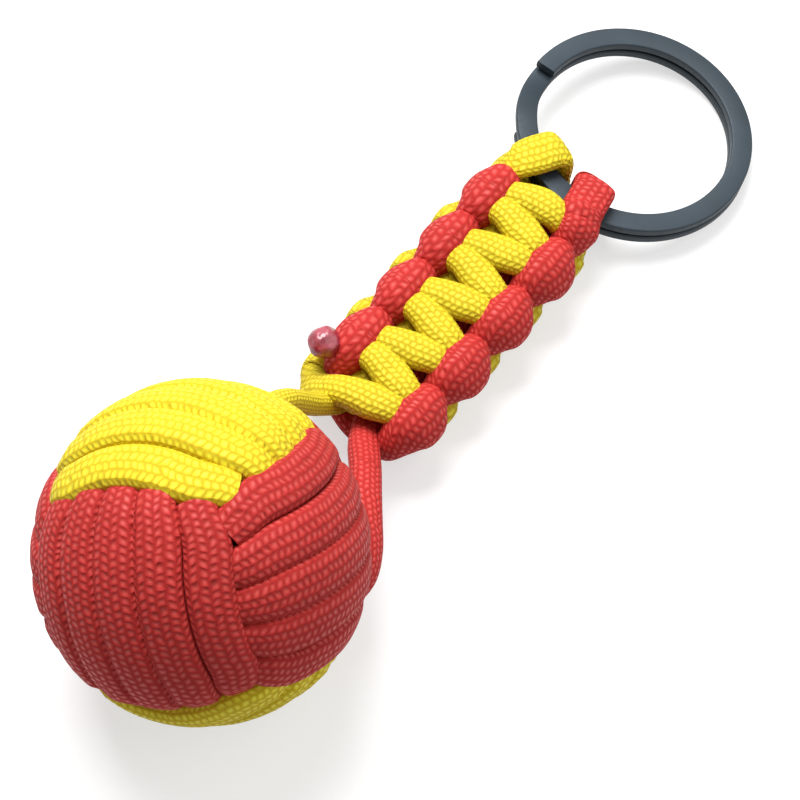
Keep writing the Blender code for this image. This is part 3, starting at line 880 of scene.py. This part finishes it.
class KEYCHAIN_OT_melt_ends(bpy.types.Operator):
    """Melt the two cut cord ends to beads"""

    bl_idname = "keychain.melt_ends"
    bl_label = "Melt Ends"

    def execute(self, context):
        for colour, (pale, deep, seed) in BEAD_LOOKS.items():
            low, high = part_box(f"{colour}_melted_end")
            radius = BEAD_SIZE * (high - low).x / 2
            mesh = finished_mesh(bead_shape(radius, seed), f"{colour}_bead")
            mesh.transform(Matrix.Translation((low + high) / 2 + Vector(BEAD_SHIFT)))
            mesh.shade_smooth()
            mesh.materials.append(melted_material(f"melted_{colour}_nylon", pale, deep))
            bead = add_object(f"{colour}_bead", mesh)
            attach(bead, "handle")
            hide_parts(f"{colour}_melted_end")
        return {"FINISHED"}


# Split ring

RING_POINTS = 480
RING_END_GAP = radians(3)
RING_CORNERS = ((1, 1), (-1, 1), (-1, -1), (1, -1))
BEVEL_ANGLES = [radians(angle) for angle in (0, 22.5, 45, 67.5, 90)]
RING_SHARP_ANGLE = radians(50)


def ring_matrix():
    along = (Vector((1, 0, 0)) - RING_AXIS.x * RING_AXIS).normalized()
    turned = Matrix((along, RING_AXIS.cross(along), RING_AXIS)).transposed().to_4x4()
    return Matrix.Translation(RING_CENTRE) @ turned


def strip_outline(bevel):
    """The strip's section with rounded corners, as distances outward and up."""
    half = RING_BAND / 2
    thick = RING_TURN / 2
    outline = []
    for quarter, (out_side, up_side) in enumerate(RING_CORNERS):
        for angle in BEVEL_ANGLES:
            turned = angle + quarter * pi / 2
            out = out_side * (half - bevel) + bevel * cos(turned)
            up = up_side * (thick - bevel) + bevel * sin(turned)
            outline.append((out, up))
    return outline


def strip_sections():
    """Sections of the ring's strip, which lies in two flat turns joined by a climb."""
    settings = bpy.context.scene.keychain_ring
    outline = strip_outline(settings.bevel)
    start = settings.climb / 2 + RING_END_GAP
    sections = []
    for angle in np.linspace(start, 4 * pi - start, RING_POINTS):
        climb = float(smooth_step((angle - 2 * pi) / settings.climb + 0.5)) - 0.5
        height = climb * (RING_TURN + RING_TURN_GAP)
        turned = angle + settings.climb_at
        way = Vector((cos(turned), sin(turned), 0))
        place = RING_MIDDLE * way + Vector((0, 0, height))
        sections.append([place + out * way + Vector((0, 0, up)) for out, up in outline])
    return sections


class KEYCHAIN_OT_bend_ring(bpy.types.Operator):
    """Bend the flat split ring's strip"""

    bl_idname = "keychain.bend_ring"
    bl_label = "Bend Ring"

    def execute(self, context):
        shape = bmesh.new()
        rings = [[shape.verts.new(corner) for corner in section] for section in strip_sections()]
        for ring, following in zip(rings, rings[1:]):
            for i in range(len(ring)):
                j = (i + 1) % len(ring)
                shape.faces.new((ring[i], following[i], following[j], ring[j]))
        shape.faces.new(rings[0])
        shape.faces.new(reversed(rings[-1]))
        mesh = finished_mesh(shape, "flat_split_ring")
        mesh.transform(ring_matrix())
        mesh.shade_smooth()
        mesh.set_sharp_from_angle(angle=RING_SHARP_ANGLE)
        mesh.materials.append(steel_material())
        ring = add_object("flat_split_ring", mesh)
        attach(ring, "ring")
        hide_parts("split_ring")
        return {"FINISHED"}


# Loops round the ring

LOOP_SIZES = {"yellow": (1.38 * CORD, 0.66 * CORD), "red": (1.42 * CORD, 0.66 * CORD)}
LOOP_CLEARANCE = 0.0001
LOOP_PLACES = {"yellow": (radians(21), radians(27)), "red": (radians(-3), radians(-9))}
LOOP_LEAD = 0.0012  # straight end where the working cord goes on
CORE_END_SHORT = 0.45 * CORD

# Rows of place, width, thickness and outward way in cord widths. The starts are from the
# end of the core strand, the ends from the weave's start, the axis and the middle plane.
LOOP_STARTS = {
    "yellow": (
        (0, 0, 0, 1.04, 0.90, (0, 0, -1)),
        (0.3, 0, 0, 1.0, 0.80, (0, 0, -1)),
        (0.72, -0.06, -0.15, 0.96, 0.66, (0, 0, -1)),
    ),
    "red": (
        (0, 0, 0, 1.04, 0.90, (0, 0, -1)),
        (0.3, 0, 0, 1.0, 0.78, (0, 0, -1)),
        (0.62, -0.1, -0.24, 1.0, 0.66, (-0.2, 0, -1)),
    ),
}
LOOP_ENDS = {
    "yellow": (
        (-0.26, 1.34, 0.86, 1.24, 0.66, (-0.2, 0.3, 1)),
        (-0.34, 1.62, 0.5, 1.12, 0.68, (0, 0.8, 0.6)),
        (-0.34, 1.84, -0.05, 0.98, 0.72, (0, 1, 0)),
        (-0.32, 1.86, -0.6, 0.98, 0.76, (0.1, 1, -0.2)),
    ),
    "red": (),
}

# The cord's places on the ring's section: the turn of its outward way in degrees, then
# whether it is inside and on the upper side
RING_PASSAGE = (
    (-140, 0, -1),
    (-115, 0, -1),
    (-90, 0, -1),
    (-90, 1, -1),
    (-60, 1, -1),
    (-30, 1, -1),
    (0, 1, -1),
    (0, 1, 1),
    (30, 1, 1),
    (60, 1, 1),
    (90, 1, 1),
    (90, 0, 1),
)
PASSAGE_START = 2  # where the cord begins to move along the ring


def round_ring(places, size):
    """A cord's way under the ring's strip, up through the hole and back over the strip."""
    ring = ring_matrix()
    reach = size[1] / 2 + LOOP_CLEARANCE
    rows = []
    for i, (turn, is_inside, upper) in enumerate(RING_PASSAGE):
        share = float(smooth_step((i - PASSAGE_START) / (len(RING_PASSAGE) - 1 - PASSAGE_START)))
        place = places[0] + (places[1] - places[0]) * share
        towards = Vector((cos(place), -sin(place), 0))
        outward = cos(radians(turn)) * towards + Vector((0, 0, sin(radians(turn))))
        corner = (is_inside - 0.5) * RING_BAND - RING_MIDDLE
        point = corner * towards + Vector((0, 0, upper * RING_HALF)) + reach * outward
        rows.append((*(ring @ point), *size, *(ring.to_3x3() @ outward)))
    return rows


def cord_width_row(x, y, z, width, thickness, outward):
    return handle_row(x * CORD, y * CORD, z * CORD, (width * CORD, thickness * CORD), outward)


def loop_rows(colour):
    """A cord from its core strand round the ring to its working cord."""
    start = (-PITCH - CORE_END_SHORT) / CORD
    side = FACES[colour] * CORE_SIDE / CORD
    rows = [cord_width_row(start + x, side + y, *rest) for x, y, *rest in LOOP_STARTS[colour]]
    rows += round_ring(LOOP_PLACES[colour], LOOP_SIZES[colour])
    rows += [cord_width_row(*row) for row in LOOP_ENDS[colour]]
    weave = weave_rows(FACES[colour])[:2]
    onward = (weave[1] - weave[0]) * (1, 1, 1, 0, 0, 0, 0, 0)
    lead = weave[0] - onward * (LOOP_LEAD / np.linalg.norm(onward))
    return spline([*rows, lead, weave[0]], CORD_STEPS)


class KEYCHAIN_OT_tie_loops(bpy.types.Operator):
    """Lead the two cords round the ring's strip"""

    bl_idname = "keychain.tie_loops"
    bl_label = "Tie Loops"

    def execute(self, context):
        for colour in FACES:
            loop = add_cord(f"{colour}_loop", loop_rows(colour), cord_material(colour))
            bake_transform(loop)
            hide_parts(f"{colour}_ring_loop")
        return {"FINISHED"}


# Legs

LEG_SIZE = {"yellow": (0.78 * CORD, 0.72 * CORD), "red": (1.02 * CORD, 0.88 * CORD)}
BALL_RADIUS = 0.02005
LEG_STARTS = {
    "yellow": ((0.0030, 0.0022, -0.0003), (0.0006, 0.0030, 0.0002)),
    "red": ((0.0013, -0.0018, -0.0003), (-0.0006, -0.0028, 0.0002)),
}
LEG_START_WAY = (0.3, 0, 1)
LEG_SPLITS = {"yellow": 25, "red": 30}  # points before the two halves meet

# Places in ball radii from the ball's centre, with the cord's outward way
LEG_PLACES = {
    "yellow": (
        ((1.40, 0.250, -0.49), (0.75, 0, 0.65)),
        ((1.30, 0.250, -0.33), (0.75, 0, 0.65)),
        ((1.21, 0.252, -0.17), (0.80, 0, 0.60)),
        ((1.12, 0.255, -0.02), (0.85, 0, 0.50)),
        ((1.02, 0.262, 0.09), (0.90, 0, 0.40)),
        ((0.90, 0.265, 0.16), (0.90, 0, 0.40)),
        ((0.78, 0.265, 0.19), (0.90, 0, 0.40)),
    ),
    "red": (
        ((1.375, -0.125, -0.60), (0.4, -0.2, 0.9)),
        ((1.22, -0.260, -0.495), (0.4, -0.3, 0.9)),
        ((1.065, -0.385, -0.43), (0.4, -0.3, 0.9)),
        ((0.91, -0.515, -0.40), (0.5, -0.4, 0.8)),
        ((0.765, -0.635, -0.39), (0.6, -0.6, 0.6)),
        ((0.61, -0.710, -0.395), (0.6, -0.7, 0.4)),
        ((0.43, -0.700, -0.40), (0.6, -0.7, 0.4)),
    ),
}


def leg_rows(colour):
    """A leg's rows from inside the handle's end to under a band of the ball."""
    end = HANDLE_END - WEAVE_START
    size = LEG_SIZE[colour]
    rows = [handle_row(end + x, y, z, size, LEG_START_WAY) for x, y, z in LEG_STARTS[colour]]
    for place, outward in LEG_PLACES[colour]:
        rows.append((*(BALL_CENTRE + BALL_RADIUS * Vector(place)), *size, *outward))
    return spline(rows, CORD_STEPS)


class KEYCHAIN_OT_lead_legs(bpy.types.Operator):
    """Lead the two legs from the handle to the ball"""

    bl_idname = "keychain.lead_legs"
    bl_label = "Lead Legs"

    def execute(self, context):
        for colour in FACES:
            rows = leg_rows(colour)
            first = rows[: LEG_SPLITS[colour] + 1]
            last = rows[LEG_SPLITS[colour] :]
            length = float(path_length(first[:, :3])[-1])
            near = add_cord(f"{colour}_leg_at_handle", first, cord_material(colour))
            far = add_cord(f"{colour}_leg_at_ball", last, cord_material(colour), start=length)
            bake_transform(near)
            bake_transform(far)
            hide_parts(f"{colour}_leg")
            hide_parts(f"{colour}_leg")
        return {"FINISHED"}


# Stage

CAMERA_PLACE = Vector((-0.1412, -0.1078, 0.3473))
CAMERA_AIM = Vector((-0.00655, -0.00218, 0.0080))
CAMERA_LENS = 136.06
FLOOR_CORNERS = ((-2, -2, 0), (2, -2, 0), (2, 2, 0), (-2, 2, 0))
FLOOR_COLOUR = (0.46, 0.46, 0.46, 1)
FLOOR_ROUGHNESS = 0.9
FLOOR_SPECULAR = 0.1
GLOW_REACH = (0.2, 0.6)  # the floor's own light grows away from its middle
GLOW = (0.60, 0.92)
LAMPS = (  # name, place, size and power
    ("key", (0.21, 0.30, 0.62), 0.45, 9.0),
    ("fill", (0.30, -0.35, 0.45), 0.6, 1.4),
)
ROOM_LIGHT = (0.30, 1.0)  # on the object, and as it is seen


def seen_share(tree):
    """1 where the camera, a reflection or a clear piece sees a surface, 0 where it only lights."""
    ways = add_node(tree, "ShaderNodeLightPath").outputs
    mirrored = node_math(tree, "MAXIMUM", ways["Is Glossy Ray"], ways["Is Transmission Ray"])
    return node_math(tree, "MAXIMUM", ways["Is Camera Ray"], mirrored)


def floor_material():
    """A pale floor that stays white to the camera and keeps soft shadows."""
    material, tree, shader = new_material("pale_floor")
    looks = {
        "Base Color": FLOOR_COLOUR,
        "Roughness": FLOOR_ROUGHNESS,
        "Specular IOR Level": FLOOR_SPECULAR,
    }
    set_inputs(tree, shader, looks)
    place = {0: object_place(tree)}
    far = add_node(tree, "ShaderNodeVectorMath", place, operation="LENGTH").outputs["Value"]
    level = map_range(tree, far, *GLOW_REACH, *GLOW)
    strength = node_math(tree, "MULTIPLY", seen_share(tree), level)
    glow = add_node(tree, "ShaderNodeEmission", {"Strength": strength})
    both = add_node(tree, "ShaderNodeAddShader", {0: shader.outputs[0], 1: glow.outputs[0]})
    tree.links.new(both.outputs[0], tree.nodes["Material Output"].inputs["Surface"])
    return material


def studio_world():
    """A white room, whose light on the object is softer than it looks."""
    world = bpy.data.worlds.new("studio")
    world.use_nodes = True
    tree = world.node_tree
    strength = map_range(tree, seen_share(tree), 0.0, 1.0, *ROOM_LIGHT)
    background = {"Color": (1, 1, 1, 1), "Strength": strength}
    set_inputs(tree, tree.nodes["Background"], background)
    return world


def aimed(way):
    """The turn of a camera or a lamp that looks along a way."""
    return Vector(way).to_track_quat("-Z", "Y").to_euler()


class KEYCHAIN_OT_set_stage(bpy.types.Operator):
    """Lay the floor and set the camera, the lamps and the background"""

    bl_idname = "keychain.set_stage"
    bl_label = "Set Stage"

    def execute(self, context):
        scene = context.scene
        camera = add_object("camera", bpy.data.cameras.new("camera"))
        camera.data.lens = CAMERA_LENS
        camera.location = CAMERA_PLACE
        camera.rotation_euler = aimed(CAMERA_AIM - CAMERA_PLACE)
        scene.camera = camera
        mesh = bpy.data.meshes.new("floor")
        mesh.from_pydata(FLOOR_CORNERS, [], [(0, 1, 2, 3)])
        mesh.materials.append(floor_material())
        floor = add_object("floor", mesh)
        for name, place, size, power in LAMPS:
            light = bpy.data.lights.new(name, "AREA")
            light.size = size
            light.energy = power
            lamp = add_object(name, light)
            lamp.location = place
            lamp.rotation_euler = aimed(-Vector(place))
        scene.world = studio_world()
        scene.view_settings.view_transform = "Standard"
        return {"FINISHED"}


class KEYCHAIN_PT_panel(bpy.types.Panel):
    """The keychain's pieces, in the order in which they are made"""

    bl_label = "Cord Keychain"
    bl_space_type = "VIEW_3D"
    bl_region_type = "UI"
    bl_category = "Keychain"

    def draw(self, context):
        for name in GROUPS:
            group = getattr(context.scene, name)
            box = self.layout.box()
            for key in group.__annotations__:
                box.prop(group, key)
        for operator in OPERATORS:
            self.layout.operator(operator.bl_idname)


GROUPS = {
    "keychain_cord": CordSettings,
    "keychain_ball": BallSettings,
    "keychain_ring": RingSettings,
}
OPERATORS = (
    KEYCHAIN_OT_set_stage,
    KEYCHAIN_OT_wind_ball,
    KEYCHAIN_OT_weave_handle,
    KEYCHAIN_OT_melt_ends,
    KEYCHAIN_OT_bend_ring,
    KEYCHAIN_OT_tie_loops,
    KEYCHAIN_OT_lead_legs,
)
CLASSES = (*GROUPS.values(), *OPERATORS, KEYCHAIN_PT_panel)


def register():
    for cls in CLASSES:
        bpy.utils.register_class(cls)
    for name, group in GROUPS.items():
        setattr(bpy.types.Scene, name, bpy.props.PointerProperty(type=group))


def unregister():
    for name in GROUPS:
        delattr(bpy.types.Scene, name)
    for cls in reversed(CLASSES):
        bpy.utils.unregister_class(cls)


def main():
    register()
    bpy.ops.keychain.set_stage()
    bpy.ops.keychain.wind_ball()
    bpy.ops.keychain.weave_handle()
    bpy.ops.keychain.melt_ends()
    bpy.ops.keychain.bend_ring()
    bpy.ops.keychain.tie_loops()
    bpy.ops.keychain.lead_legs()


if __name__ == "__main__":
    main()
